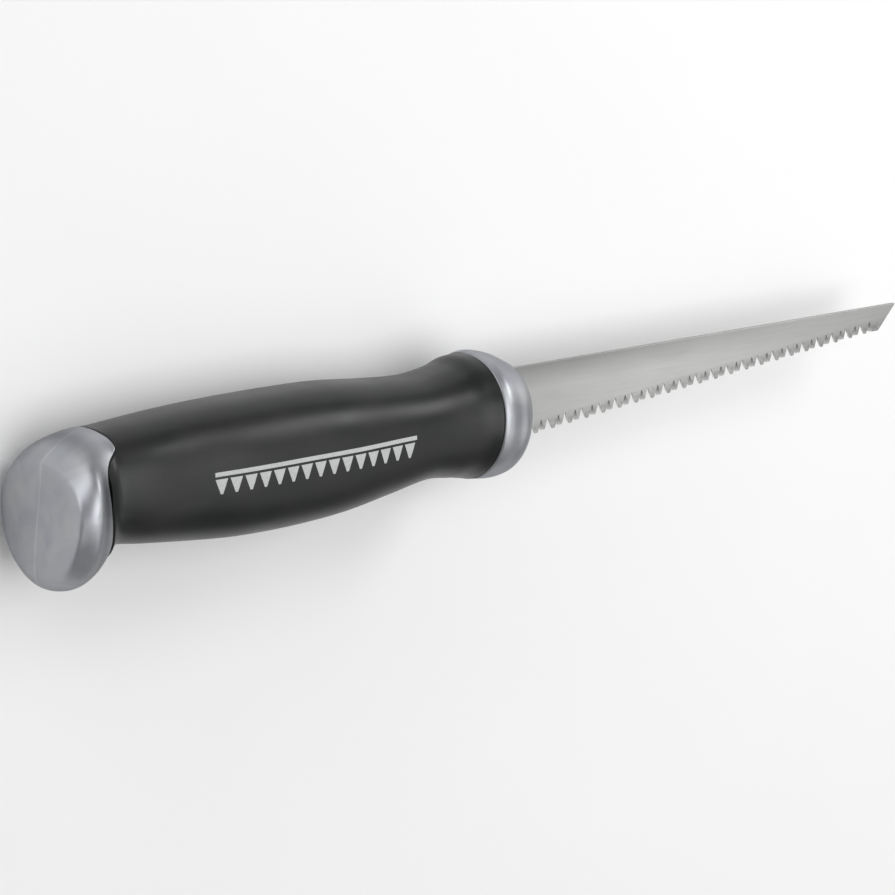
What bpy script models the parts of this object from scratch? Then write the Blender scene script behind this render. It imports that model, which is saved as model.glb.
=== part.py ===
"""Drywall (jab) saw with a fixed blade, lying on its side.

Frame: +X towards the blade's tip, +Y towards the spine, +Z up, which is the saw's right side.
The origin is the centre of the saw's bounding box, at its lowest level.
Lengths are in millimetres and MM turns them into metres. They are measured in the saw's own
datum: X = 0 is a gullet near the collar, Y = 0 is the spine, Z = 0 is the blade's middle plane.
"""
import math

import bmesh
import bpy
from mathutils import Vector

MM = 0.001
GAP = 0.3                 # clearance between neighbouring pieces
MERGE = 0.0001            # corners closer than this are one

# Blade
TOOTH_PITCH = 3.175       # eight teeth to the inch
TOOTH_DEPTH = 3.2
TOOTH_FLAT = 0.3          # width of a tooth's point
GULLET_FLAT = 0.35        # width of a gullet's root
FLEAM = math.radians(30)  # the gullets are ground at this angle, left and right in turn
FIRST_GULLET, LAST_GULLET = -3, 43
END_MARGIN = 0.3          # plain edge before the first gullet and after the last
PLATE = 1.27              # thickness of the steel
FLEAM_SHIFT = PLATE / 2 * math.tan(FLEAM)
# Where two gullets meet on a tooth's narrow side, this far above its point.
TIP_CLIP = TOOTH_DEPTH * (2 * FLEAM_SHIFT - TOOTH_FLAT) / (TOOTH_PITCH - TOOTH_FLAT - GULLET_FLAT)
TIP_X = 148.1             # the point, on the spine
TIP_CUT_X, TIP_CUT_Y = 141.2, -7.6
TIP_BLUNT = 0.5           # height of the blunt end at the point
EDGE_Y, EDGE_SLOPE = -19.6, 0.0865   # the line through the tooth points
TOOTH_BAND = 0.6          # plain steel above the gullets, within the teeth's cells

# Tang
TANG_Y = -10.25           # its centre line
TANG_HEEL_HALF, TANG_END_HALF = 7.25, 4.25
TANG_END_X = -88.0
TANG_CORNER = 3.0
RIVET_X = {"tang_rivet_front": -38.0, "tang_rivet_rear": -70.0}
RIVET_R, RIVET_HEAD_R, RIVET_HEAD = 2.0, 3.6, 1.2
RIVET_TOP = 9.5           # outer face of a rivet's head, from the blade's plane

# Handle sections from the rear forwards: x, lean, top, bottom, half width, roundness, swell.
# lean moves a section's X with its height, swell widens its upper half and narrows its lower.
LEAN_Y = -16.0
HANDLE = [
    (-158.6, 0.12, -14.0, -25.6, 6.0, 2.0, 0.04),
    (-158.5, 0.11, -9.2, -30.1, 11.0, 2.1, 0.06),
    (-158.3, 0.08, -4.8, -32.8, 16.7, 2.1, 0.10),
    (-156.9, 0.04, -3.0, -35.2, 18.2, 2.15, 0.17),
    (-152.9, 0.04, 0.2, -35.7, 19.2, 2.3, 0.13),
    (-148.1, 0.01, 2.5, -33.8, 16.0, 2.25, 0.05),
    (-144.4, 0.00, 3.0, -29.8, 14.0, 2.3, 0.01),
    (-141.2, 0.00, 2.8, -26.7, 14.1, 2.4, 0.0),
    (-133.0, 0.00, 3.3, -27.5, 14.8, 2.5, 0.0),
    (-120.0, 0.00, 4.25, -29.05, 15.2, 2.5, 0.0),
    (-104.7, 0.00, 4.75, -30.4, 16.2, 2.5, 0.0),
    (-88.0, 0.00, 4.9, -30.6, 16.3, 2.5, 0.0),
    (-71.6, 0.00, 4.55, -29.7, 16.3, 2.5, 0.0),
    (-56.0, 0.00, 3.2, -27.6, 15.1, 2.45, 0.0),
    (-42.6, 0.01, 2.45, -25.55, 14.65, 2.4, 0.0),
    (-33.0, 0.04, 3.8, -26.4, 15.4, 2.3, 0.0),
    (-28.4, 0.06, 5.6, -27.2, 16.2, 2.15, 0.0),
    (-24.6, 0.07, 5.9, -27.9, 17.6, 2.1, 0.0),
    (-22.0, 0.07, 6.4, -28.3, 17.9, 2.12, 0.0),
    (-18.6, 0.08, 5.5, -28.7, 17.2, 2.06, 0.0),
    (-16.0, 0.10, 4.1, -28.5, 16.9, 2.05, 0.0),
    (-14.0, 0.11, 3.0, -27.9, 16.0, 2.05, 0.0),
    (-13.1, 0.12, 2.3, -26.6, 15.1, 2.05, 0.0),
]
# A place along the handle counts these sections: 2.5 is half-way from HANDLE[2] to HANDLE[3].
RIM, NECK_END, COLLAR_REAR, FRONT = 4, 9, 17, len(HANDLE) - 1
FRONT_X, FRONT_LEAN = HANDLE[FRONT][:2]
# Where the pommel meets the grip: degrees above the handle's side, and the place there.
PARTING_LINE = [
    (90, 6.12), (74, 6.4), (64, 6.66), (52, 6.76), (46, 6.7), (41, 6.25), (36, 5.65),
    (31, 5.28), (22, 5.08), (6, 5.16), (-10, 5.4), (-30, 5.68), (-90, 6.1),
]
SEGMENTS = 48
SPAN_STEPS = 3            # rings from one section to the next

# Inside the handle
SKIN = 3.0                # thickness of the grip
SPIGOT = (-1.0, -22.5, 10.4, 2.4)    # rear spigot: top, bottom, half width, roundness
SPIGOT_END_X = -151.5
END_GAP = 0.5             # clearance along X where grip and core meet the pommel
COLLAR_WALL = 3.4         # thickness of the collar's front wall
POCKETS = [(-137.0, -126.0), (-119.0, -107.0), (-100.0, -91.5)]
POCKET_HALF, POCKET_DEPTH, POCKET_Y = 8.0, 7.0, -12.0
PEG_X = (-122.5, -103.5)
PEG_R, PEG_LENGTH = 1.8, 3.5
CUTTER_REACH = 40.0       # a cutter's size where it only has to pass the part


def remove_everything():
    for thing in list(bpy.data.objects):
        bpy.data.objects.remove(thing, do_unlink=True)


def make_material(name, colour, roughness, metallic=0.0):
    material = bpy.data.materials.new(name)
    material.use_nodes = True
    shader = material.node_tree.nodes["Principled BSDF"]
    shader.inputs["Base Color"].default_value = (*colour, 1.0)
    shader.inputs["Roughness"].default_value = roughness
    shader.inputs["Metallic"].default_value = metallic
    return material


def make_object(name, bm, material=None, smooth_angle=35):
    """Turn a bmesh drawn in millimetres into an object of closed, outward faces."""
    bmesh.ops.recalc_face_normals(bm, faces=bm.faces)
    bmesh.ops.scale(bm, vec=(MM, MM, MM), verts=bm.verts)
    mesh = bpy.data.meshes.new(name)
    bm.to_mesh(mesh)
    bm.free()
    mesh.shade_smooth()
    mesh.set_sharp_from_angle(angle=math.radians(smooth_angle))
    made = bpy.data.objects.new(name, mesh)
    bpy.context.collection.objects.link(made)
    if material:
        mesh.materials.append(material)
    return made


def curve_between(first, second, third, fourth, t):
    """A Catmull-Rom curve through four rows of numbers, from the second row to the third."""
    return tuple(
        b + 0.5 * t * (c - a + t * (2 * a - 5 * b + 4 * c - d + t * (3 * (b - c) + d - a)))
        for a, b, c, d in zip(first, second, third, fourth))


def four_rows(rows, index):
    """The rows round the span that starts at index, repeating the first and last ones."""
    return [rows[min(max(row, 0), len(rows) - 1)] for row in range(index - 1, index + 3)]


def section_at(place):
    index = min(int(place), FRONT - 1)
    return curve_between(*four_rows(HANDLE, index), place - index)


def parting_place(angle):
    """The place along the handle of the line between pommel and grip, round the handle."""
    rise = math.degrees(math.asin(math.sin(angle)))
    index = max(k for k, (degrees, _) in enumerate(PARTING_LINE[:-1]) if rise <= degrees)
    start, end = PARTING_LINE[index][0], PARTING_LINE[index + 1][0]
    share = (start - rise) / (start - end)
    return curve_between(*four_rows(PARTING_LINE, index), share)[1]


def towards_parting(place, share):
    """The sections that lie that share of the way from one place to the parting line."""
    return lambda angle: section_at(place + (parting_place(angle) - place) * share)


def signed_power(value, power):
    return math.copysign(abs(value) ** power, value)


def section_ring(section, inset=0.0, shift=0.0, outline=None):
    """One superellipse ring. section is a row like HANDLE's, or gives one for each angle.

    outline replaces its top, bottom, half width and roundness.
    """
    ring = []
    for step in range(SEGMENTS):
        angle = 2 * math.pi * step / SEGMENTS
        row = section(angle) if callable(section) else section
        x, lean, top, bottom, half, power, swell = row
        if outline:
            top, bottom, half, power = outline
            swell = 0
        up = signed_power(math.sin(angle), 2 / power)
        across = signed_power(math.cos(angle), 2 / power)
        y = (top + bottom) / 2 + ((top - bottom) / 2 - inset) * up
        z = (half - inset) * across * (1 + swell * up)
        ring.append((x + shift + lean * (y - LEAN_Y), y, z))
    return ring


def places(start, end):
    """Places from one section up to, but not at, another."""
    return [start + step / SPAN_STEPS for step in range((end - start) * SPAN_STEPS)]


def loft(rings, ring_shaped=False):
    """Skin a row of rings. The ends are capped, or joined when the body is ring-shaped."""
    bm = bmesh.new()
    rows = [[bm.verts.new(point) for point in ring] for ring in rings]
    pairs = list(zip(rows, rows[1:]))
    if ring_shaped:
        pairs.append((rows[-1], rows[0]))
    else:
        bm.faces.new(rows[0])
        bm.faces.new(rows[-1])
    for near, far in pairs:
        for i in range(len(near)):
            j = (i + 1) % len(near)
            bm.faces.new((near[i], near[j], far[j], far[i]))
    return bm


def circle(centre_x, centre_y, z, radius, sides=24):
    angles = [2 * math.pi * side / sides for side in range(sides)]
    return [(centre_x + radius * math.cos(a), centre_y + radius * math.sin(a), z) for a in angles]


def prism(outline, low, high):
    """An outline of (x, y) points raised from low to high along Z."""
    return loft([[(x, y, low) for x, y in outline], [(x, y, high) for x, y in outline]])


def merged(pieces):
    """Put separate bodies, each a bmesh, into one bmesh."""
    whole = bmesh.new()
    for piece in pieces:
        mesh = bpy.data.meshes.new("body")
        piece.to_mesh(mesh)
        piece.free()
        whole.from_mesh(mesh)
        bpy.data.meshes.remove(mesh)
    return whole


def make_cutter(name, bm):
    cutter = make_object(name, bm)
    cutter.hide_render = True
    cutter.display_type = "WIRE"
    return cutter


def boolean(target, other, operation):
    modifier = target.modifiers.new(other.name, "BOOLEAN")
    modifier.operation = operation
    modifier.solver = "EXACT"
    modifier.object = other


# ---- blade ----

def edge_y(x):
    return EDGE_Y + EDGE_SLOPE * x


def band_y(x):
    return edge_y(x) + TOOTH_DEPTH + TOOTH_BAND


def heel_x(y):
    """The blade's heel is flush with the inside of the collar's front wall."""
    return FRONT_X - COLLAR_WALL + FRONT_LEAN * (y - LEAN_Y)


def tang_outline(margin=0.0):
    """From the heel's upper corner, round the tang's end, to the heel's lower corner."""
    half, end_half = TANG_HEEL_HALF + margin, TANG_END_HALF + margin
    end_x = TANG_END_X - margin
    top, bottom = TANG_Y + half, TANG_Y - half
    return [
        (heel_x(top), top),
        (end_x + TANG_CORNER, TANG_Y + end_half),
        (end_x, TANG_Y + end_half - TANG_CORNER),
        (end_x, TANG_Y - end_half + TANG_CORNER),
        (end_x + TANG_CORNER, TANG_Y - end_half),
        (heel_x(bottom), bottom),
    ]


def tooth_tip(x, narrow):
    """The middle of a tooth's point, which is shorter on the tooth's narrow side."""
    return x, edge_y(x) + (TIP_CLIP if narrow else 0)


def gullet_corners(number, direction):
    """A gullet's cell from tooth to tooth, on the plate's +Z side (1) or -Z side (-1).

    The even gullets open towards the tip as they go down through the plate, the odd ones
    towards the handle.
    """
    x = TOOTH_PITCH * number
    shift = direction * FLEAM_SHIFT * (1 if number % 2 else -1)
    left, right = x - TOOTH_PITCH / 2, x + TOOTH_PITCH / 2
    first, last = number == FIRST_GULLET, number == LAST_GULLET
    left_narrow, right_narrow = shift < 0 and not first, shift > 0 and not last
    left_tip = tooth_tip(left - END_MARGIN * first, left_narrow)
    right_tip = tooth_tip(right + END_MARGIN * last, right_narrow)
    root_y = edge_y(x) + TOOTH_DEPTH
    return [
        (left_tip[0], band_y(left_tip[0])),
        left_tip,
        left_tip if left_narrow else (left + TOOTH_FLAT / 2 + shift, edge_y(left)),
        (x - GULLET_FLAT / 2 + shift, root_y),
        (x + GULLET_FLAT / 2 + shift, root_y),
        right_tip if right_narrow else (right - TOOTH_FLAT / 2 + shift, edge_y(right)),
        right_tip,
        (right_tip[0], band_y(right_tip[0])),
    ]


def blade_cells():
    """The plate's sides: one cell for the flat and the tang, and one for each gullet.

    A corner is a pair of places, its (x, y) on the +Z side and its (x, y) on the -Z side.
    """
    teeth = [list(zip(gullet_corners(number, 1), gullet_corners(number, -1)))
             for number in range(FIRST_GULLET, LAST_GULLET + 1)]
    low_y = teeth[0][1][0][1]
    rear = [(heel_x(0), 0), *tang_outline(), (heel_x(low_y), low_y)]
    tip = [(TIP_CUT_X, TIP_CUT_Y), (TIP_X, -TIP_BLUNT), (TIP_X, 0)]
    flat = [*zip(rear, rear), teeth[0][1], *[cell[0] for cell in teeth],
            teeth[-1][-1], teeth[-1][-2], *zip(tip, tip)]
    return [flat, *teeth]


def plate_mesh(cells, thickness):
    """Two sides made of the same cells, joined along their open edges."""
    bm = bmesh.new()
    layers = []
    for side, z in enumerate((thickness / 2, -thickness / 2)):
        found = {}
        for cell in cells:
            corners = []
            for corner in cell:
                key = tuple(round(value, 4) for place in corner for value in place)
                if key not in found:
                    found[key] = bm.verts.new((*corner[side], z))
                corners.append(found[key])
            bm.faces.new(corners if side else corners[::-1])
        layers.append(found)
    upper, lower = layers
    upper_keys = {vert: key for key, vert in upper.items()}
    for edge in [e for e in bm.edges if e.is_boundary and e.verts[0] in upper_keys]:
        keys = [upper_keys[vert] for vert in edge.verts]
        bm.faces.new((edge.verts[0], edge.verts[1], lower[keys[1]], lower[keys[0]]))
    bmesh.ops.remove_doubles(bm, verts=bm.verts, dist=MERGE)
    return bm


def make_blade(material, rivet_holes):
    blade = make_object("blade", plate_mesh(blade_cells(), PLATE), material, smooth_angle=20)
    boolean(blade, rivet_holes, "DIFFERENCE")
    return blade


def make_rivet(name, x, material):
    shank = RIVET_TOP - RIVET_HEAD
    levels = [(-RIVET_TOP, RIVET_HEAD_R), (-shank, RIVET_HEAD_R), (-shank, RIVET_R),
              (shank, RIVET_R), (shank, RIVET_HEAD_R), (RIVET_TOP, RIVET_HEAD_R)]
    return make_object(name, loft([circle(x, TANG_Y, z, r) for z, r in levels]), material)


# ---- handle ----

def core_rings():
    """The hard core fills the grip, and ends in a spigot in the pommel and one in the collar."""
    inset = SKIN + GAP
    rear = towards_parting(NECK_END, 1)
    rings = [
        section_ring((SPIGOT_END_X, 0, *HANDLE[RIM][2:6], 0), outline=SPIGOT),
        section_ring(rear, shift=END_GAP, outline=SPIGOT),
        section_ring(rear, inset, END_GAP),
    ]
    rings += [section_ring(section, inset) for section in HANDLE[NECK_END:COLLAR_REAR + 1]]
    front = (FRONT_X - COLLAR_WALL - GAP, FRONT_LEAN, *HANDLE[COLLAR_REAR][2:])
    return rings + [section_ring(front, inset)]


def make_core_half(name, side, material, cutters, pegs):
    """One half of the core: side +1 is the right half, with sockets, and -1 the left."""
    half = make_object(name, loft(core_rings()), material)
    low, high = sorted((side * GAP / 2, side * CUTTER_REACH))
    box = [(-200, -CUTTER_REACH), (0, -CUTTER_REACH), (0, CUTTER_REACH), (-200, CUTTER_REACH)]
    boolean(half, make_cutter(name + "_side", prism(box, low, high)), "INTERSECT")
    for cutter in cutters:
        boolean(half, cutter, "DIFFERENCE")
    boolean(half, pegs, "DIFFERENCE" if side > 0 else "UNION")
    return half


def peg_bodies(radius, low, high):
    return merged([loft([circle(x, POCKET_Y, low, radius), circle(x, POCKET_Y, high, radius)])
                   for x in PEG_X])


def make_core(material, rivet_holes):
    depth = PLATE / 2 + GAP
    tang = tang_outline(GAP)
    mouth = [(0, tang[0][1]), *tang, (0, tang[-1][1])]
    pockets = []
    for rear_x, front_x in POCKETS:
        low_y, high_y = POCKET_Y - POCKET_HALF, POCKET_Y + POCKET_HALF
        corners = [(rear_x, low_y), (front_x, low_y), (front_x, high_y), (rear_x, high_y)]
        pockets.append(prism(corners, -POCKET_DEPTH, POCKET_DEPTH))
    heads = []
    for x in RIVET_X.values():
        for side in (1, -1):
            levels = sorted((side * (RIVET_TOP - RIVET_HEAD - GAP), side * CUTTER_REACH))
            heads.append(loft([circle(x, TANG_Y, z, RIVET_HEAD_R + GAP) for z in levels]))
    cutters = [
        make_cutter("tang_pocket", prism(mouth, -depth, depth)),
        make_cutter("core_pockets", merged(pockets)),
        make_cutter("rivet_seats", merged(heads)),
        rivet_holes,
    ]
    pegs = make_cutter("peg_bodies", peg_bodies(PEG_R, -PEG_LENGTH, PEG_LENGTH))
    sockets = make_cutter("peg_sockets", peg_bodies(PEG_R + GAP, -PEG_LENGTH, PEG_LENGTH + GAP))
    return [
        make_core_half("core_right", 1, material, cutters, sockets),
        make_core_half("core_left", -1, material, cutters, pegs),
    ]


def make_grip(material):
    """The rubber sleeve: its outside from the rear forwards, then its inside back again."""
    rear, front = towards_parting(NECK_END, 1), HANDLE[COLLAR_REAR]
    steps = (NECK_END - RIM) * 2
    outer = [section_ring(rear, shift=END_GAP)]
    outer += [section_ring(towards_parting(NECK_END, 1 - step / steps)) for step in range(1, steps)]
    outer += [section_ring(section_at(place)) for place in places(NECK_END, COLLAR_REAR)]
    outer.append(section_ring(front, shift=-GAP))
    inner = [section_ring(rear, SKIN, END_GAP)]
    inner += [section_ring(section, SKIN) for section in HANDLE[NECK_END:COLLAR_REAR]]
    inner.append(section_ring(front, SKIN, -GAP))
    return make_object("grip", loft(outer + inner[::-1], ring_shaped=True), material)


def make_pommel(material):
    """The end cap: its outside from the rear forwards, then its socket back to the floor."""
    top, bottom, half, power = SPIGOT
    socket = (top + GAP, bottom - GAP, half + GAP, power)
    floor = (SPIGOT_END_X - GAP, 0, *HANDLE[RIM][2:6], 0)
    steps = (NECK_END - RIM) * 2
    rings = [section_ring(section_at(place)) for place in places(0, RIM)]
    rings += [section_ring(towards_parting(RIM, step / steps)) for step in range(steps + 1)]
    rings += [section_ring(towards_parting(RIM, 1), outline=socket),
              section_ring(floor, outline=socket)]
    return make_object("pommel", loft(rings), material)


def make_collar(material):
    """The front ring: its socket from the floor backwards, then its outside to the front."""
    rear = HANDLE[COLLAR_REAR]
    floor = (FRONT_X - COLLAR_WALL, FRONT_LEAN, *rear[2:])
    rings = [section_ring(floor, SKIN), section_ring(rear, SKIN)]
    rings += [section_ring(section_at(place)) for place in places(COLLAR_REAR, FRONT)]
    rings.append(section_ring(HANDLE[FRONT]))
    collar = make_object("collar", loft(rings), material)
    low = edge_y(TOOTH_PITCH * FIRST_GULLET) - 2 * GAP
    slot = [(-CUTTER_REACH, low), (0, low), (0, GAP), (-CUTTER_REACH, GAP)]
    depth = PLATE / 2 + GAP
    boolean(collar, make_cutter("blade_slot", prism(slot, -depth, depth)), "DIFFERENCE")
    return collar


def main():
    remove_everything()
    steel = make_material("blade_steel", (0.55, 0.55, 0.54), 0.38, 1.0)
    zinc = make_material("rivet_zinc", (0.60, 0.61, 0.63), 0.35, 1.0)
    silver = make_material("silver_plastic", (0.30, 0.31, 0.33), 0.40)
    core_grey = make_material("core_plastic", (0.22, 0.23, 0.24), 0.50)
    rubber = make_material("grip_rubber", (0.030, 0.031, 0.031), 0.55)

    holes = merged([
        loft([circle(x, TANG_Y, z, RIVET_R + GAP) for z in (-CUTTER_REACH, CUTTER_REACH)])
        for x in RIVET_X.values()])
    rivet_holes = make_cutter("rivet_holes", holes)
    pieces = [make_blade(steel, rivet_holes), *make_core(core_grey, rivet_holes)]
    pieces += [make_rivet(name, x, zinc) for name, x in RIVET_X.items()]
    pieces += [make_collar(silver), make_pommel(silver), make_grip(rubber)]

    corners = [Vector(corner) for piece in pieces for corner in piece.bound_box]
    low = Vector([min(c[i] for c in corners) for i in range(3)])
    high = Vector([max(c[i] for c in corners) for i in range(3)])
    datum = bpy.data.objects.new("saw_datum", None)
    bpy.context.collection.objects.link(datum)
    datum.location = (-(low.x + high.x) / 2, -(low.y + high.y) / 2, -low.z)
    for thing in list(bpy.data.objects):
        if thing is not datum:
            thing.parent = datum


main()
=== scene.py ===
"""The looks of a drywall saw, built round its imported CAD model.

The world is in metres: +X towards the blade's point, +Y towards the spine, +Z up.
Shapes are drawn in millimetres in the saw's own datum, as in the CAD: X = 0 is a gullet near
the collar, Y = 0 is the spine and Z = 0 is the blade's middle plane.
"""
import math

import bmesh
import bpy
from mathutils import Matrix, Vector

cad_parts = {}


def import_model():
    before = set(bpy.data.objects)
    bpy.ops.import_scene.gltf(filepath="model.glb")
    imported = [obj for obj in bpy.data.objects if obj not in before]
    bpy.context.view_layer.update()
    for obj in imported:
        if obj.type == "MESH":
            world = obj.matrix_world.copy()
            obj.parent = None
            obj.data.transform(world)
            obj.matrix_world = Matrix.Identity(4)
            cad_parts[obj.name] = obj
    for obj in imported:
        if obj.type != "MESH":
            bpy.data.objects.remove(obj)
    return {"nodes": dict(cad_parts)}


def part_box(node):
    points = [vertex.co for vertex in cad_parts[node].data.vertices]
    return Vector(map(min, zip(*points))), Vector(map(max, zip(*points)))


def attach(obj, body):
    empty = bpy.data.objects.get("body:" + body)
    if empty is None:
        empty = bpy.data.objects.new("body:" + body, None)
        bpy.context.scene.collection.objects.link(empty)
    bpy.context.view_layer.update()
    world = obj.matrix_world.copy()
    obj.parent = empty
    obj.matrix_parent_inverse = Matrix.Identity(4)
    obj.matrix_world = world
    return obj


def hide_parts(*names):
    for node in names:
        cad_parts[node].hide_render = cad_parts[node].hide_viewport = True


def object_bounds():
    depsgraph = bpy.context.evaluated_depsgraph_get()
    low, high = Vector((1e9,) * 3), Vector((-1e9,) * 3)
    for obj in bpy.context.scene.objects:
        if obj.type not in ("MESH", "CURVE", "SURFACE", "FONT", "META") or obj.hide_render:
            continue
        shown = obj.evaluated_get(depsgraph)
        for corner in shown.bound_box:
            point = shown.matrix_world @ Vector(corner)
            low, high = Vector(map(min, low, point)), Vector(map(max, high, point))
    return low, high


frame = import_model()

MM = 0.001
CAD_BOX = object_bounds()

# Lengths are in millimetres, except the studio's.
GAP = 0.3                 # clearance between neighbouring pieces, as in the CAD
SEAM = 0.1                # hairline gap that shows between grip, pommel and collar
NEAR = 0.15               # how close to a line or plane a point counts as being on it
SMOOTH_ANGLE = math.radians(35)

# Blade
BLADE_HALF = 0.635        # half of the plate's thickness
BLADE_SHARP_ANGLE = math.radians(15)
TIP_X = 148.1
TIP_BLUNT = 0.5           # height of the square end at the point
TIP_CUT_X, TIP_CUT_Y = 141.2, -7.6      # lower end of the slanted cut
EDGE_Y, EDGE_SLOPE = -19.6, 0.0865      # the line through the tooth points
BARE_X = -12.0            # about where the blade comes out of the collar
SPINE_BEVEL, TIP_BEVEL, BEVEL_SEGMENTS = 0.16, 0.45, 2

# Teeth
TOOTH_PITCH = 3.175
TOOTH_DEPTH = 3.2
TOOTH_FLAT = 0.24         # width of a tooth's point
TOOTH_CURVE = 0.72        # below 1, the sides of a tooth bulge
TOOTH_STEPS = 6           # steps from a tooth's point up to the root
STEP_CROWDING = 1.5       # above 1, those steps are shorter near the point
TOOTH_BAND = 0.6          # height of the cells above the roots
GULLET_FLAT = 0.35        # width of a gullet's root
FLEAM = math.radians(30)  # how far from square the gullets are ground through the plate
FLEAM_SHIFT = BLADE_HALF * math.tan(FLEAM)
FIRST_GULLET, LAST_GULLET = -3, 43
END_MARGIN = 0.3          # plain edge before the first gullet and after the last
CORNER_DECIMALS = 4       # corners that agree to so many decimals are one corner
MERGE = 0.0001            # points that are this close become one

# Tang
TANG_Y = -10.25           # its centre line
TANG_HEEL_HALF, TANG_END_HALF = 7.25, 4.25
TANG_END_X = -88.0
TANG_CORNER = 3.0
RIVET_X = (-38.0, -70.0)
RIVET_R = 2.0
HOLE_SEGMENTS = 48
DRILL_LENGTH = 10 * BLADE_HALF

# Handle sections from the rear forwards: x, lean, top, bottom, half width, roundness, swell.
# lean moves a section's X with its height, swell widens its upper half and narrows its lower.
LEAN_Y = -16.0            # height at which lean moves nothing
HANDLE = [
    (-158.6, 0.12, -14.0, -25.6, 6.0, 2.0, 0.04),
    (-158.5, 0.11, -9.2, -30.1, 11.0, 2.1, 0.06),
    (-158.3, 0.08, -4.8, -32.8, 16.7, 2.1, 0.10),
    (-156.9, 0.04, -3.0, -35.2, 18.2, 2.15, 0.17),
    (-152.9, 0.04, 0.2, -35.7, 19.2, 2.3, 0.13),
    (-148.1, 0.01, 2.5, -33.8, 16.0, 2.25, 0.05),
    (-144.4, 0.00, 3.0, -29.8, 14.0, 2.3, 0.01),
    (-141.2, 0.00, 2.8, -26.7, 14.1, 2.4, 0.0),
    (-133.0, 0.00, 3.3, -27.5, 14.8, 2.5, 0.0),
    (-120.0, 0.00, 4.25, -29.05, 15.2, 2.5, 0.0),
    (-104.7, 0.00, 4.75, -30.4, 16.2, 2.5, 0.0),
    (-88.0, 0.00, 4.9, -30.6, 16.3, 2.5, 0.0),
    (-71.6, 0.00, 4.55, -29.7, 16.3, 2.5, 0.0),
    (-56.0, 0.00, 3.2, -27.6, 15.1, 2.45, 0.0),
    (-42.6, 0.01, 2.45, -25.55, 14.65, 2.4, 0.0),
    (-33.0, 0.04, 3.8, -26.4, 15.4, 2.3, 0.0),
    (-28.4, 0.06, 5.6, -27.2, 16.2, 2.15, 0.0),
    (-24.6, 0.07, 5.9, -27.9, 17.6, 2.1, 0.0),
    (-22.0, 0.07, 6.4, -28.3, 17.9, 2.12, 0.0),
    (-18.6, 0.08, 5.5, -28.7, 17.2, 2.06, 0.0),
    (-16.0, 0.10, 4.1, -28.5, 16.9, 2.05, 0.0),
    (-14.0, 0.11, 3.0, -27.9, 16.0, 2.05, 0.0),
    (-13.1, 0.12, 2.3, -26.6, 15.1, 2.05, 0.0),
]
# A place along the handle counts these sections: 2.5 is half-way from HANDLE[2] to HANDLE[3].
RIM, NECK_END, COLLAR_REAR, FRONT = 4, 9, 17, len(HANDLE) - 1
FRONT_X, FRONT_LEAN = HANDLE[FRONT][:2]
# Where the pommel meets the grip: degrees above the handle's side, and the place there.
PARTING_LINE = [
    (90, 6.12), (74, 6.4), (64, 6.66), (52, 6.76), (46, 6.7), (41, 6.25), (36, 5.65),
    (31, 5.28), (22, 5.08), (6, 5.16), (-10, 5.4), (-30, 5.68), (-90, 6.1),
]
SEGMENTS = 160            # points round a ring
SPAN_STEPS = 8            # rings from one section to the next, on the outside
INNER_STEPS = 2           # and on the grip's inside
PARTING_STEPS = 30        # rings from a section to the parting line
EDGE_STEPS = 4            # steps round a moulded edge
EDGE_SKIP = 3             # rings left out beside a moulded edge, to leave room for its radius
SKIN = 3.0                # thickness of the rubber and of the collar's sides
GRIP_EDGE = 0.35          # radius of the grip's ends
COVER_EDGE = 0.45         # radius of the pommel's and the collar's edges
SHADE_RING_X = -150.0           # the ring of painted shade between the pommel's flange and its neck
CROWN = 0.12              # how far the pommel's rear stands out in its middle
CROWN_SHARES = (0.15, 0.4, 0.7)         # the crown's rings, as shares of its height and width
SPIGOT = (-1.0, -22.5, 10.4, 2.4)       # top, bottom, half width and roundness
SPIGOT_END_X = -151.5
COLLAR_WALL = 3.4
SLOT_ROUNDNESS = 40       # nearly a rectangle

# Printed mark: a bar over a row of tooth shapes
MARK_REAR_X, MARK_FRONT_X = -117.0, -52.5
MARK_Y = -12.6            # its middle
MARK_HEIGHT = 5.6
MARK_BAR = 1.1            # height of the bar
MARK_DROP = 1.6           # from the bar's top to the tooth shapes, in bar heights
MARK_TEETH = 15
MARK_TOOTH = (0.34, 0.50, 0.84)         # a point's ends and the right shoulder, in pitches
MARK_BAR_STEPS, MARK_TOOTH_STEPS = (60, 2), (4, 5)
INK = 0.04                # how far the ink reaches out of the skin and into it

# Camera
VIEW_TURN, VIEW_RISE = math.radians(40), math.radians(13)
AIM = (-29.68, -19.01, 0.0)
CAMERA_DISTANCE = 786.2
LENS, SENSOR = 117.57, 36.0
CLIP_START, CLIP_END = 50.0, 50000.0

# Studio, with lengths in metres
FLOOR_SIZE = 6.0
WORLD_STRENGTH = 0.25
SOFTBOXES = [             # name, direction from the saw, distance, size, radiance
    ("softbox_left", (-0.74, 0.64, 0.16), 0.9, (0.9, 0.4), 2.4),
    ("softbox_right", (0.58, 0.57, 0.58), 1.0, (0.45, 0.35), 6.5),
    ("softbox_low", (0.92, 0.36, 0.12), 0.9, (0.2, 0.16), 2.6),
    ("softbox_front", (0.42, -0.22, 0.88), 1.2, (1.0, 1.4), 0.88),
    ("softbox_top", (0.0, 0.1, 1.0), 1.5, (1.2, 1.2), 2.4),
]


# ---- places ----

def datum_offset():
    """Where the saw's own datum lies in the world, in metres, from the CAD blade's box."""
    low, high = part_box("blade")
    return Vector((high.x - TIP_X * MM, high.y, (low.z + high.z) / 2))


OFFSET = datum_offset()


def world(point):
    """A datum point's place in the world."""
    return OFFSET + Vector(point) * MM


def keep_in_box(mesh, node):
    """Bring back the points that a finer curve takes past the CAD node's box."""
    low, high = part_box(node)
    for vert in mesh.vertices:
        vert.co = [min(max(c, lo), hi) for c, lo, hi in zip(vert.co, low, high)]


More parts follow.
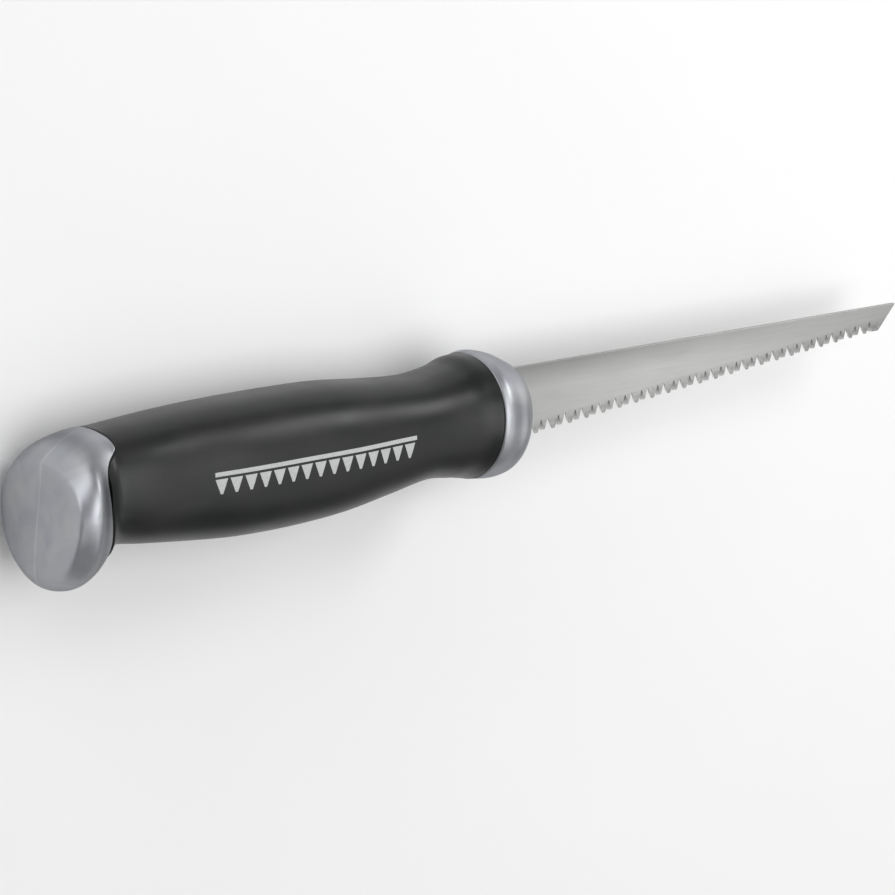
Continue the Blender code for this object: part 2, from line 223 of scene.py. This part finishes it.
def make_object(name, bm, materials):
    """Turn a bmesh drawn in datum millimetres into an object in the world."""
    bmesh.ops.recalc_face_normals(bm, faces=bm.faces)
    mesh = bpy.data.meshes.new(name)
    bm.to_mesh(mesh)
    bm.free()
    mesh.transform(Matrix.Translation(OFFSET) @ Matrix.Scale(MM, 4))
    mesh.shade_smooth()
    mesh.set_sharp_from_angle(angle=SMOOTH_ANGLE)
    for material in materials:
        mesh.materials.append(material)
    made = bpy.data.objects.new(name, mesh)
    bpy.context.scene.collection.objects.link(made)
    return made


def stand_for(piece, node):
    """Let a piece take the place of a CAD node."""
    keep_in_box(piece.data, node)
    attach(piece, "root")
    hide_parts(node)


# ---- materials ----

NOISE_RANGE = (0.3, 0.7)  # the values that a noise mostly stays between


class Nodes:
    """A material's node tree, with short ways to add the nodes that these materials share."""

    def __init__(self, name, colour, roughness, metallic=0.0):
        self.material = bpy.data.materials.new(name)
        self.material.use_nodes = True
        self.tree = self.material.node_tree
        self.shader = self.tree.nodes["Principled BSDF"]
        self.shader.inputs["Base Color"].default_value = (*colour, 1.0)
        self.shader.inputs["Roughness"].default_value = roughness
        self.shader.inputs["Metallic"].default_value = metallic
        self.coords = self.tree.nodes.new("ShaderNodeTexCoord").outputs["Object"]

    def add(self, kind, **values):
        node = self.tree.nodes.new(kind)
        for key, value in values.items():
            setattr(node, key, value)
        return node

    def link(self, output, node, socket):
        self.tree.links.new(output, node.inputs[socket])

    def datum(self, axis):
        """The saw's own X, Y or Z in millimetres."""
        mapping = self.add("ShaderNodeMapping")
        mapping.inputs["Scale"].default_value = (1 / MM,) * 3
        mapping.inputs["Location"].default_value = -OFFSET / MM
        self.link(self.coords, mapping, "Vector")
        split = self.add("ShaderNodeSeparateXYZ")
        self.link(mapping.outputs["Vector"], split, "Vector")
        return split.outputs[axis]

    def above_points(self):
        """The height above the line through the tooth points, in millimetres."""
        rise = self.add("ShaderNodeMath", operation="MULTIPLY_ADD")
        self.link(self.datum("X"), rise, 0)
        rise.inputs[1].default_value = -EDGE_SLOPE
        self.link(self.datum("Y"), rise, 2)
        height = self.add("ShaderNodeMath", operation="SUBTRACT")
        self.link(rise.outputs["Value"], height, 0)
        height.inputs[1].default_value = EDGE_Y
        return height.outputs["Value"]

    def distance(self, value, middle):
        """How far a value lies from a middle, either way."""
        away = self.add("ShaderNodeMath", operation="SUBTRACT")
        away.inputs[1].default_value = middle
        self.link(value, away, 0)
        absolute = self.add("ShaderNodeMath", operation="ABSOLUTE")
        self.link(away.outputs["Value"], absolute, 0)
        return absolute.outputs["Value"]

    def times(self, first, second):
        """The product of two values."""
        node = self.add("ShaderNodeMath", operation="MULTIPLY")
        self.link(first, node, 0)
        self.link(second, node, 1)
        return node.outputs["Value"]

    def noise(self, per_mm, detail=3.0, distortion=0.0):
        """Noise with that many cells to the millimetre along X, Y and Z."""
        if isinstance(per_mm, (int, float)):
            per_mm = (per_mm,) * 3
        mapping = self.add("ShaderNodeMapping")
        mapping.inputs["Scale"].default_value = [cells / MM for cells in per_mm]
        self.link(self.coords, mapping, "Vector")
        noise = self.add("ShaderNodeTexNoise")
        noise.inputs["Scale"].default_value = 1.0
        noise.inputs["Detail"].default_value = detail
        noise.inputs["Distortion"].default_value = distortion
        self.link(mapping.outputs["Vector"], noise, "Vector")
        return noise.outputs["Fac"]

    def remap(self, value, start, end=(0, 1)):
        """Carry a value from the range start over to the range end, and keep it in there."""
        node = self.add("ShaderNodeMapRange")
        for socket, number in zip(("From Min", "From Max", "To Min", "To Max"), (*start, *end)):
            node.inputs[socket].default_value = number
        self.link(value, node, "Value")
        return node.outputs["Result"]

    def spread(self, noise, end=(0, 1)):
        """Spread a noise over the whole of a range."""
        return self.remap(noise, NOISE_RANGE, end)

    def blend(self, factor, first, second):
        """Mix two colours, each given as a tuple or as another node's output."""
        node = self.add("ShaderNodeMix", data_type="RGBA")
        self.link(factor, node, 0)
        for socket, colour in ((6, first), (7, second)):
            if isinstance(colour, tuple):
                node.inputs[socket].default_value = (*colour, 1.0)
            else:
                self.link(colour, node, socket)
        return node.outputs[2]

    def bump(self, height, depth_mm, before=None):
        """Relief of that depth, on top of the normal before it."""
        node = self.add("ShaderNodeBump")
        node.inputs["Strength"].default_value = 1.0
        node.inputs["Distance"].default_value = depth_mm * MM
        self.link(height, node, "Height")
        if before:
            self.link(before, node, "Normal")
        return node.outputs["Normal"]

    def finish(self, colour, roughness, normal):
        """Wire up the shader and hand the material over."""
        self.link(colour, self.shader, "Base Color")
        self.link(roughness, self.shader, "Roughness")
        self.link(normal, self.shader, "Normal")
        return self.material


def rubber_material():
    """Satin black soft-touch rubber: fine grain, faint clouding and a few dusty smears."""
    nodes = Nodes("grip_rubber_satin", (0.026, 0.027, 0.027), 0.36)
    nodes.shader.inputs["Specular IOR Level"].default_value = 0.32
    deep, worn, dusty = (0.010, 0.011, 0.011), (0.015, 0.016, 0.015), (0.04, 0.04, 0.038)
    clouds = nodes.noise(0.07, detail=5)
    smears = nodes.noise((0.05, 0.16, 0.16), detail=6, distortion=0.6)
    waves, grain = nodes.noise(0.25, detail=2), nodes.noise(5.0, detail=2)
    colour = nodes.blend(nodes.remap(clouds, (0.35, 0.65)), deep, worn)
    colour = nodes.blend(nodes.remap(smears, (0.55, 0.8), (0, 0.25)), colour, dusty)
    normal = nodes.bump(waves, 0.02, nodes.bump(grain, 0.006))
    return nodes.finish(colour, nodes.spread(clouds, (0.32, 0.40)), normal)


def silver_material():
    """Silver-grey moulded plastic: metal flake, a mould line and a ring of painted shade in the
    pommel's neck.
    """
    nodes = Nodes("silver_plastic_satin", (0.25, 0.26, 0.28), 0.32, metallic=0.8)
    nodes.shader.inputs["Specular Tint"].default_value = (0.5, 0.5, 0.5, 1.0)
    dark, light, glint = (0.35, 0.36, 0.40), (0.44, 0.45, 0.46), (0.50, 0.51, 0.53)
    # The second, dark colour here is painted shade, used round the pommel's neck.
    line, neck_shade_colour = (0.62, 0.63, 0.66), (0.05, 0.055, 0.06)
    flow = nodes.noise((0.05, 0.12, 0.12), detail=5, distortion=0.8)
    flake, peel = nodes.noise(7.0, detail=1), nodes.noise(0.45, detail=2)
    on_line = nodes.remap(nodes.distance(nodes.datum("Z"), 0.0), (0.1, 0.5), (1, 0))
    line_share = nodes.times(on_line, nodes.remap(flow, (0.3, 0.6), (0.12, 0.4)))
    # Painted shade: a dark ring round the pommel's neck, blended into the colour below.
    neck_shade_share = nodes.remap(nodes.distance(nodes.datum("X"), SHADE_RING_X), (0.5, 4.0), (0.38, 0))
    colour = nodes.blend(nodes.spread(flow), dark, light)
    colour = nodes.blend(nodes.remap(flake, (0.60, 0.75), (0, 0.3)), colour, glint)
    colour = nodes.blend(line_share, colour, line)
    colour = nodes.blend(neck_shade_share, colour, neck_shade_colour)
    normal = nodes.bump(on_line, 0.02, nodes.bump(peel, 0.010, nodes.bump(flake, 0.0015)))
    return nodes.finish(colour, nodes.spread(flow, (0.37, 0.45)), normal)


def steel_material():
    """Matt spring steel, finely brushed along the blade.

    It has painted shade along the spine, next to the collar and towards the tip, and is darker
    in patches near the teeth.
    """
    nodes = Nodes("blade_steel_brushed", (0.52, 0.52, 0.515), 0.42, metallic=1.0)
    dark, light = (0.50, 0.50, 0.49), (0.56, 0.56, 0.55)
    stained, dark_patches_and_painted_shade = (0.42, 0.41, 0.39), (0.24, 0.24, 0.235)
    brushed = nodes.noise((0.06, 5.0, 5.0), detail=3)
    stains = nodes.noise((0.06, 0.16, 0.16), detail=5, distortion=0.5)
    patches = nodes.noise(0.9, detail=3)
    colour = nodes.blend(nodes.spread(brushed), dark, light)
    colour = nodes.blend(nodes.remap(stains, (0.5, 0.8), (0, 0.3)), colour, stained)
    # Painted shade: darker along the spine near the collar, next to the collar and towards the
    # tip. Near the teeth the darker colour goes on in patches.
    along = nodes.datum("X")
    spine = nodes.times(nodes.remap(nodes.datum("Y"), (-7.0, -0.5)),
                        nodes.remap(along, (BARE_X, 130.0), (1, 0)))
    teeth = nodes.times(nodes.remap(nodes.above_points(), (1.5, 4.0), (1, 0)),
                        nodes.remap(patches, (0.35, 0.65), (0.2, 0.75)))
    collar = nodes.remap(along, (BARE_X, 45.0), (0.5, 0))
    tip = nodes.remap(along, (80.0, 148.0), (0, 0.3))
    for share in (spine, teeth, collar, tip):
        colour = nodes.blend(share, colour, dark_patches_and_painted_shade)
    return nodes.finish(colour, nodes.spread(stains, (0.42, 0.50)), nodes.bump(brushed, 0.003))


def ground_material():
    """Freshly ground steel on the plate's edges, with painted shade darkening it towards the
    gullets' roots, so it is bright only at the teeth's points.
    """
    nodes = Nodes("blade_steel_ground", (0.6, 0.6, 0.59), 0.5, metallic=1.0)
    dark, light, root = (0.74, 0.74, 0.73), (0.90, 0.90, 0.89), (0.30, 0.30, 0.295)
    marks = nodes.noise((5.0, 5.0, 0.4), detail=3)
    colour = nodes.blend(nodes.spread(marks), dark, light)
    # Painted shade: the ground steel gets darker towards the gullets' roots.
    colour = nodes.blend(nodes.remap(nodes.above_points(), (0.8, 2.4), (0, 0.85)), colour, root)
    return nodes.finish(colour, nodes.spread(marks, (0.45, 0.60)), nodes.bump(marks, 0.006))


def ink_material():
    """Matt light grey pad-printed ink, slightly uneven where it thinned out."""
    nodes = Nodes("print_ink_grey", (0.60, 0.61, 0.61), 0.55)
    full, thin = (0.50, 0.51, 0.51), (0.37, 0.38, 0.38)
    uneven = nodes.noise(1.6, detail=4)
    colour = nodes.blend(nodes.remap(uneven, (0.45, 0.75), (0, 0.6)), full, thin)
    return nodes.finish(colour, nodes.spread(uneven, (0.5, 0.62)), nodes.bump(uneven, 0.01))


def core_material():
    """Matt grey moulded plastic."""
    nodes = Nodes("core_plastic_matt", (0.20, 0.21, 0.22), 0.5)
    dark, light = (0.18, 0.19, 0.20), (0.23, 0.24, 0.25)
    flow = nodes.noise(0.2, detail=4, distortion=0.5)
    grain = nodes.noise(4.0, detail=2)
    colour = nodes.blend(nodes.spread(flow), dark, light)
    return nodes.finish(colour, nodes.spread(grain, (0.45, 0.6)), nodes.bump(grain, 0.01))


def zinc_material():
    """Zinc-plated steel with a cloudy satin surface."""
    nodes = Nodes("rivet_zinc_satin", (0.60, 0.61, 0.63), 0.35, metallic=1.0)
    dark, light = (0.52, 0.54, 0.58), (0.66, 0.66, 0.66)
    clouds = nodes.noise(0.8, detail=4, distortion=0.4)
    colour = nodes.blend(nodes.spread(clouds), dark, light)
    return nodes.finish(colour, nodes.spread(clouds, (0.28, 0.42)), nodes.bump(clouds, 0.01))


def floor_material():
    """A pale matt floor with a hardly visible mottle."""
    nodes = Nodes("pale_floor", (0.85, 0.85, 0.85), 0.9)
    dark, light = (0.88, 0.88, 0.88), (0.90, 0.90, 0.90)
    mottle = nodes.noise(0.02, detail=3)
    colour = nodes.blend(mottle, dark, light)
    roughness = nodes.remap(mottle, (0, 1), (0.85, 0.95))
    return nodes.finish(colour, roughness, nodes.bump(mottle, 0.01))


# ---- lofted shapes ----

def curve_between(first, second, third, fourth, t):
    """A Catmull-Rom curve through four rows of numbers, from the second row to the third."""
    return tuple(
        b + 0.5 * t * (c - a + t * (2 * a - 5 * b + 4 * c - d + t * (3 * (b - c) + d - a)))
        for a, b, c, d in zip(first, second, third, fourth))


def four_rows(rows, index):
    """The rows round the span that starts at index, repeating the first and last ones."""
    return [rows[min(max(row, 0), len(rows) - 1)] for row in range(index - 1, index + 3)]


def section_at(place):
    """The handle's section at a place along it."""
    index = min(int(place), FRONT - 1)
    return curve_between(*four_rows(HANDLE, index), place - index)


def parting_place(angle):
    """The place along the handle of the line between pommel and grip, at an angle round it."""
    rise = math.degrees(math.asin(math.sin(angle)))     # the same on the left and the right
    index = max(k for k, (degrees, _) in enumerate(PARTING_LINE[:-1]) if rise <= degrees)
    start, end = PARTING_LINE[index][0], PARTING_LINE[index + 1][0]
    share = (start - rise) / (start - end)
    return curve_between(*four_rows(PARTING_LINE, index), share)[1]


def towards_parting(place, share):
    """A section for each angle, that share of the way from one place to the parting line."""
    return lambda angle: section_at(place + (parting_place(angle) - place) * share)


def signed_power(value, power):
    """A power of the value's size, with the value's sign."""
    return math.copysign(abs(value) ** power, value)


def section_ring(section, inset=0.0, shift=0.0, outline=None):
    """One superellipse ring. section is a row like HANDLE's, or gives one for each angle.

    inset draws the ring in, shift moves it along X, and outline replaces its top, bottom,
    half width and roundness.
    """
    ring = []
    for step in range(SEGMENTS):
        angle = 2 * math.pi * step / SEGMENTS
        row = section(angle) if callable(section) else section
        x, lean, top, bottom, half, power, swell = row
        if outline:
            top, bottom, half, power = outline
            swell = 0
        up = signed_power(math.sin(angle), 2 / power)
        across = signed_power(math.cos(angle), 2 / power)
        y = (top + bottom) / 2 + ((top - bottom) / 2 - inset) * up
        z = (half - inset) * across * (1 + swell * up)
        ring.append((x + shift + lean * (y - LEAN_Y), y, z))
    return ring


def places(start, end, steps=SPAN_STEPS):
    """Places from one section up to, but not at, another."""
    return [start + step / steps for step in range((end - start) * steps)]


def edge_rings(section, radius, outward, shift):
    """Rings round a moulded edge, from the side onto the end face.

    outward is +1 where the end faces the tip and -1 where it faces the rear.
    """
    rings = []
    for step in range(EDGE_STEPS + 1):
        angle = math.pi / 2 * step / EDGE_STEPS
        back = radius * (1 - math.sin(angle))
        inset = radius * (1 - math.cos(angle))
        rings.append(section_ring(section, inset, shift - outward * back))
    return rings


def loft(rings, ring_shaped=False):
    """Skin a row of rings. The ends are capped, or joined when the body is ring-shaped."""
    bm = bmesh.new()
    rows = [[bm.verts.new(point) for point in ring] for ring in rings]
    pairs = list(zip(rows, rows[1:]))
    if ring_shaped:
        pairs.append((rows[-1], rows[0]))
    else:
        bm.faces.new(rows[0])
        bm.faces.new(rows[-1])
    for near, far in pairs:
        for i in range(len(near)):
            j = (i + 1) % len(near)
            bm.faces.new((near[i], near[j], far[j], far[i]))
    return bm


# ---- handle ----

def make_grip(material):
    """The rubber sleeve, with rounded ends and its inner wall against the core."""
    rear, front = towards_parting(NECK_END, 1), HANDLE[COLLAR_REAR]
    outer = edge_rings(rear, GRIP_EDGE, -1, SEAM / 2)[::-1]
    outer += [section_ring(towards_parting(NECK_END, 1 - step / PARTING_STEPS))
              for step in range(1 + EDGE_SKIP, PARTING_STEPS)]
    outer += [section_ring(section_at(place)) for place in places(NECK_END, COLLAR_REAR)]
    outer += edge_rings(front, GRIP_EDGE, 1, -SEAM / 2)
    inner = [section_ring(rear, SKIN, SEAM / 2)]
    inner += [section_ring(section_at(place), SKIN)
              for place in places(NECK_END, COLLAR_REAR, INNER_STEPS)]
    inner.append(section_ring(front, SKIN, -SEAM / 2))
    piece = make_object("grip_sleeve", loft(outer + inner[::-1], ring_shaped=True), [material])
    stand_for(piece, "grip")


def make_pommel(material):
    """The end cap: its crowned rear, its flange and waist, and its socket."""
    top, bottom, half, power = SPIGOT
    socket = (top + GAP, bottom - GAP, half + GAP, power)
    front = towards_parting(RIM, 1)
    floor = (SPIGOT_END_X - GAP, 0, *socket, 0)
    x, lean, high, low, wide, roundness, swell = HANDLE[0]
    crown = []
    for share in CROWN_SHARES:
        middle, tall = (high + low) / 2, (high - low) / 2 * share
        crown.append((x - CROWN * (1 - share ** 2), lean, middle + tall, middle - tall,
                      wide * share, roundness, swell))
    rings = [section_ring(section) for section in crown]
    rings += [section_ring(section_at(place)) for place in places(0, RIM)]
    rings += [section_ring(towards_parting(RIM, step / PARTING_STEPS))
              for step in range(PARTING_STEPS - EDGE_SKIP)]
    rings += edge_rings(front, COVER_EDGE, 1, -SEAM / 2)
    rings += [section_ring(front, shift=-SEAM / 2, outline=socket), section_ring(floor)]
    piece = make_object("pommel_cap", loft(rings), [material])
    stand_for(piece, "pommel")


def make_collar(material):
    """The front ring: its socket, its rounded outside and its front wall with the slot."""
    rear, front = HANDLE[COLLAR_REAR], HANDLE[FRONT]
    floor = (FRONT_X - COLLAR_WALL, FRONT_LEAN, *rear[2:])
    low = edge_y(TOOTH_PITCH * FIRST_GULLET) - 2 * GAP
    slot = (GAP, low, BLADE_HALF + GAP, SLOT_ROUNDNESS)
    rings = [section_ring(floor, SKIN), section_ring(rear, SKIN, SEAM / 2)]
    rings += edge_rings(rear, COVER_EDGE, -1, SEAM / 2)[::-1]
    rings += [section_ring(section_at(place)) for place in places(COLLAR_REAR, FRONT)[1:]]
    rings += edge_rings(front, COVER_EDGE, 1, 0)
    rings += [section_ring(front, outline=slot),
              section_ring(front, shift=-COLLAR_WALL, outline=slot)]
    piece = make_object("collar_ring", loft(rings, ring_shaped=True), [material])
    stand_for(piece, "collar")


# ---- blade ----

def edge_y(x):
    """The height of the line through the tooth points."""
    return EDGE_Y + EDGE_SLOPE * x


def band_y(x):
    """The height up to which the teeth's cells reach."""
    return edge_y(x) + TOOTH_DEPTH + TOOTH_BAND


def heel_x(y):
    """The blade's rear shoulder, flush with the inside of the collar's front wall."""
    return FRONT_X - COLLAR_WALL + FRONT_LEAN * (y - LEAN_Y)


def tang_outline():
    """The tang's corners (x, y), from its upper root round its end to its lower root."""
    top, bottom = TANG_Y + TANG_HEEL_HALF, TANG_Y - TANG_HEEL_HALF
    return [
        (heel_x(top), top),
        (TANG_END_X + TANG_CORNER, TANG_Y + TANG_END_HALF),
        (TANG_END_X, TANG_Y + TANG_END_HALF - TANG_CORNER),
        (TANG_END_X, TANG_Y - TANG_END_HALF + TANG_CORNER),
        (TANG_END_X + TANG_CORNER, TANG_Y - TANG_END_HALF),
        (heel_x(bottom), bottom),
    ]


def gullet_rises():
    """Heights up a gullet's side, from the tooth's point (0) to the root (1)."""
    return [(step / TOOTH_STEPS) ** STEP_CROWDING for step in range(TOOTH_STEPS + 1)]


def gullet_reach(rise):
    """Half of a gullet's width at that height."""
    wide, narrow = (TOOTH_PITCH - TOOTH_FLAT) / 2, GULLET_FLAT / 2
    return wide - (wide - narrow) * rise ** TOOTH_CURVE


def clip_rise():
    """The height at which two gullets meet on a tooth's narrow side."""
    share = (2 * FLEAM_SHIFT - TOOTH_FLAT) / (TOOTH_PITCH - TOOTH_FLAT - GULLET_FLAT)
    return share ** (1 / TOOTH_CURVE)


def tooth_tip(x, narrow):
    """The middle of a tooth's point, which is shorter on the tooth's narrow side."""
    return x, edge_y(x) + (clip_rise() * TOOTH_DEPTH if narrow else 0)


def gullet_side(x, hand, shift, tip, narrow):
    """One side of a gullet, from a tooth's point up to the root. hand is -1 left, +1 right."""
    points = []
    for rise in gullet_rises():
        at = x + hand * gullet_reach(rise)
        y = edge_y(at) * (1 - rise) + (edge_y(x) + TOOTH_DEPTH) * rise
        points.append(tip if narrow and rise <= clip_rise() else (at + shift, y))
    return points


def gullet_corners(number, direction):
    """A gullet's cell from tooth to tooth, on the plate's +Z side (1) or -Z side (-1)."""
    x = TOOTH_PITCH * number
    shift = direction * FLEAM_SHIFT * (1 if number % 2 else -1)
    first, last = number == FIRST_GULLET, number == LAST_GULLET
    left_narrow, right_narrow = shift < 0 and not first, shift > 0 and not last
    left_tip = tooth_tip(x - TOOTH_PITCH / 2 - END_MARGIN * first, left_narrow)
    right_tip = tooth_tip(x + TOOTH_PITCH / 2 + END_MARGIN * last, right_narrow)
    return [
        (left_tip[0], band_y(left_tip[0])),
        left_tip,
        *gullet_side(x, -1, shift, left_tip, left_narrow),
        *gullet_side(x, 1, shift, right_tip, right_narrow)[::-1],
        right_tip,
        (right_tip[0], band_y(right_tip[0])),
    ]


def blade_cells():
    """The plate's sides as cells. A corner is its (x, y) on the +Z side and on the -Z side."""
    teeth = [list(zip(gullet_corners(number, 1), gullet_corners(number, -1)))
             for number in range(FIRST_GULLET, LAST_GULLET + 1)]
    low_y = teeth[0][1][0][1]
    rear = [(heel_x(0), 0), *tang_outline(), (heel_x(low_y), low_y)]
    tip = [(TIP_CUT_X, TIP_CUT_Y), (TIP_X, -TIP_BLUNT), (TIP_X, 0)]
    flat = [*zip(rear, rear), teeth[0][1], *[cell[0] for cell in teeth],
            teeth[-1][-1], teeth[-1][-2], *zip(tip, tip)]
    return [flat, *teeth]


def plate_mesh(cells, thickness):
    """Two sides made of the same cells, joined along their open edges by ground walls."""
    bm = bmesh.new()
    layers = []
    for side, z in enumerate((thickness / 2, -thickness / 2)):
        found = {}
        for cell in cells:
            corners = []
            for corner in cell:
                key = tuple(round(value, CORNER_DECIMALS) for xy in corner for value in xy)
                if key not in found:
                    found[key] = bm.verts.new((*corner[side], z))
                corners.append(found[key])
            bm.faces.new(corners if side else corners[::-1])
        layers.append(found)
    upper, lower = layers
    upper_keys = {vert: key for key, vert in upper.items()}
    for edge in [e for e in bm.edges if e.is_boundary and e.verts[0] in upper_keys]:
        keys = [upper_keys[vert] for vert in edge.verts]
        wall = bm.faces.new((edge.verts[0], edge.verts[1], lower[keys[1]], lower[keys[0]]))
        wall.material_index = 1
    bmesh.ops.remove_doubles(bm, verts=bm.verts, dist=MERGE)
    return bm


def bevel_edges(bm, on_edge, width):
    """Take the sharp corner off the plate, along the edges whose two ends pass on_edge."""
    edges = [edge for edge in bm.edges
             if abs(edge.verts[0].co.z - edge.verts[1].co.z) < NEAR
             and all(on_edge(vert.co) for vert in edge.verts)
             and len({round(face.normal.z, 2) for face in edge.link_faces}) > 1]
    bmesh.ops.bevel(bm, geom=edges, offset=width, segments=BEVEL_SEGMENTS, profile=0.5,
                    affect="EDGES")


def on_spine(point):
    return abs(point.y) < NEAR and point.x > FRONT_X - COLLAR_WALL


def on_tip_cut(point):
    return point.x > TIP_CUT_X - NEAR and point.y < -TIP_BLUNT / 2


def cut_rivet_holes(piece):
    """Drill the tang's round holes for the rivets."""
    bm = bmesh.new()
    radius = RIVET_R + GAP
    for x in RIVET_X:
        bmesh.ops.create_cone(bm, cap_ends=True, segments=HOLE_SEGMENTS, radius1=radius,
                              radius2=radius, depth=DRILL_LENGTH,
                              matrix=Matrix.Translation((x, TANG_Y, 0)))
    drill = make_object("drill", bm, [])
    modifier = piece.modifiers.new("holes", "BOOLEAN")
    modifier.operation, modifier.solver, modifier.object = "DIFFERENCE", "EXACT", drill
    bpy.context.view_layer.update()
    evaluated = piece.evaluated_get(bpy.context.evaluated_depsgraph_get())
    drilled = bpy.data.meshes.new_from_object(evaluated)
    drilled.set_sharp_from_angle(angle=BLADE_SHARP_ANGLE)
    piece.modifiers.clear()
    piece.data = drilled
    bpy.data.objects.remove(drill, do_unlink=True)


def make_blade(steel, ground):
    """The plate, with curved, ground gullets and the sharp corners off its spine and tip."""
    bm = plate_mesh(blade_cells(), 2 * BLADE_HALF)
    bmesh.ops.recalc_face_normals(bm, faces=bm.faces)
    bevel_edges(bm, on_spine, SPINE_BEVEL)
    bevel_edges(bm, on_tip_cut, TIP_BEVEL)
    piece = make_object("blade_plate", bm, [steel, ground])
    cut_rivet_holes(piece)
    stand_for(piece, "blade")


# ---- printed mark ----

def skin_z(x, y):
    """How far the grip's side stands from the blade's plane, where it has no lean or swell."""
    index = next(k for k in range(FRONT) if HANDLE[k][0] <= x < HANDLE[k + 1][0])
    start, end = HANDLE[index][0], HANDLE[index + 1][0]
    _, _, top, bottom, half, power, _ = section_at(index + (x - start) / (end - start))
    across = abs(y - (top + bottom) / 2) / ((top - bottom) / 2)
    return half * (1 - across ** power) ** (1 / power)


def ink_patch(bm, corners, steps):
    """A thin slab of ink on the skin, bounded by four corners (x, y) in order.

    steps says how many faces it has along its bottom and up its sides.
    """
    a, b, c, d = [Vector((*corner, 0)) for corner in corners]
    along, up = steps
    layers = []
    for height in (INK, -INK):
        rows = []
        for j in range(up + 1):
            left, right = a.lerp(d, j / up), b.lerp(c, j / up)
            row = []
            for i in range(along + 1):
                x, y, _ = left.lerp(right, i / along)
                row.append(bm.verts.new((x, y, skin_z(x, y) + height)))
            rows.append(row)
        layers.append(rows)
    top, bottom = layers
    for rows, flip in ((top, False), (bottom, True)):
        for near, far in zip(rows, rows[1:]):
            for i in range(along):
                face = (near[i], near[i + 1], far[i + 1], far[i])
                bm.faces.new(face[::-1] if flip else face)
    rims = []
    for rows in (top, bottom):
        rims.append(rows[0] + [row[-1] for row in rows[1:]] + rows[-1][-2::-1]
                    + [row[0] for row in rows[-2:0:-1]])
    for i in range(len(rims[0])):
        j = (i + 1) % len(rims[0])
        bm.faces.new((rims[0][i], rims[0][j], rims[1][j], rims[1][i]))


def make_mark(material):
    """A made-up mark: a straight bar over a row of tooth shapes."""
    bm = bmesh.new()
    high, low = MARK_Y + MARK_HEIGHT / 2, MARK_Y - MARK_HEIGHT / 2
    bar_low = high - MARK_BAR
    ink_patch(bm, [(MARK_REAR_X, bar_low), (MARK_FRONT_X, bar_low),
                   (MARK_FRONT_X, high), (MARK_REAR_X, high)], MARK_BAR_STEPS)
    pitch = (MARK_FRONT_X - MARK_REAR_X) / MARK_TEETH
    point_left, point_right, shoulder = [share * pitch for share in MARK_TOOTH]
    base = high - MARK_DROP * MARK_BAR
    for number in range(MARK_TEETH):
        left = MARK_REAR_X + pitch * number
        ink_patch(bm, [(left + point_left, low), (left + point_right, low),
                       (left + shoulder, base), (left, base)], MARK_TOOTH_STEPS)
    mark = make_object("print_mark", bm, [material])
    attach(mark, "root")


# ---- studio ----

def view_axes():
    """Unit vectors to the right, up and back towards the camera."""
    back = Vector((-math.sin(VIEW_TURN) * math.cos(VIEW_RISE), math.sin(VIEW_RISE),
                   math.cos(VIEW_TURN) * math.cos(VIEW_RISE)))
    right = Vector((math.cos(VIEW_TURN), 0, math.sin(VIEW_TURN)))
    return right, back.cross(right), back


def make_camera():
    """A camera at the photograph's viewing angle."""
    right, up, back = view_axes()
    data = bpy.data.cameras.new("camera")
    data.lens, data.sensor_width = LENS, SENSOR
    data.clip_start, data.clip_end = CLIP_START * MM, CLIP_END * MM
    camera = bpy.data.objects.new("camera", data)
    turn = Matrix((right, up, back)).transposed().to_4x4()
    place = world(AIM) + back * CAMERA_DISTANCE * MM
    camera.matrix_world = Matrix.Translation(place) @ turn
    bpy.context.scene.collection.objects.link(camera)
    bpy.context.scene.camera = camera


def make_softbox(name, direction, distance, size, radiance):
    """A rectangular soft light that faces the saw's middle. radiance is how bright it looks."""
    data = bpy.data.lights.new(name, "AREA")
    data.shape = "RECTANGLE"
    data.size, data.size_y = size
    data.energy = radiance * math.pi * size[0] * size[1]
    light = bpy.data.objects.new(name, data)
    way = Vector(direction).normalized()
    light.location = way * distance + Vector((0, 0, (CAD_BOX[0][2] + CAD_BOX[1][2]) / 2))
    light.rotation_euler = way.to_track_quat("Z", "Y").to_euler()
    bpy.context.scene.collection.objects.link(light)


def make_floor():
    """A plain pale floor at the world's Z = 0."""
    bm = bmesh.new()
    bmesh.ops.create_grid(bm, x_segments=1, y_segments=1, size=FLOOR_SIZE / 2)
    mesh = bpy.data.meshes.new("floor")
    bm.to_mesh(mesh)
    bm.free()
    mesh.materials.append(floor_material())
    floor = bpy.data.objects.new("floor", mesh)
    bpy.context.scene.collection.objects.link(floor)


def make_lights():
    """A dim white world and soft lights round the saw."""
    studio = bpy.data.worlds.new("studio")
    studio.use_nodes = True
    background = studio.node_tree.nodes["Background"]
    background.inputs["Color"].default_value = (1.0, 1.0, 1.0, 1.0)
    background.inputs["Strength"].default_value = WORLD_STRENGTH
    bpy.context.scene.world = studio
    for softbox in SOFTBOXES:
        make_softbox(*softbox)
    bpy.context.scene.view_settings.view_transform = "Standard"


def dress_carried_nodes():
    """The pieces inside the handle keep their CAD shapes."""
    core, zinc = core_material(), zinc_material()
    for node, material in (("core_left", core), ("core_right", core),
                           ("tang_rivet_front", zinc), ("tang_rivet_rear", zinc)):
        mesh = frame["nodes"][node].data
        mesh.materials.clear()
        mesh.materials.append(material)


def main():
    silver = silver_material()
    make_camera()
    make_grip(rubber_material())
    make_pommel(silver)
    make_collar(silver)
    make_blade(steel_material(), ground_material())
    make_mark(ink_material())
    dress_carried_nodes()
    make_floor()
    make_lights()


main()
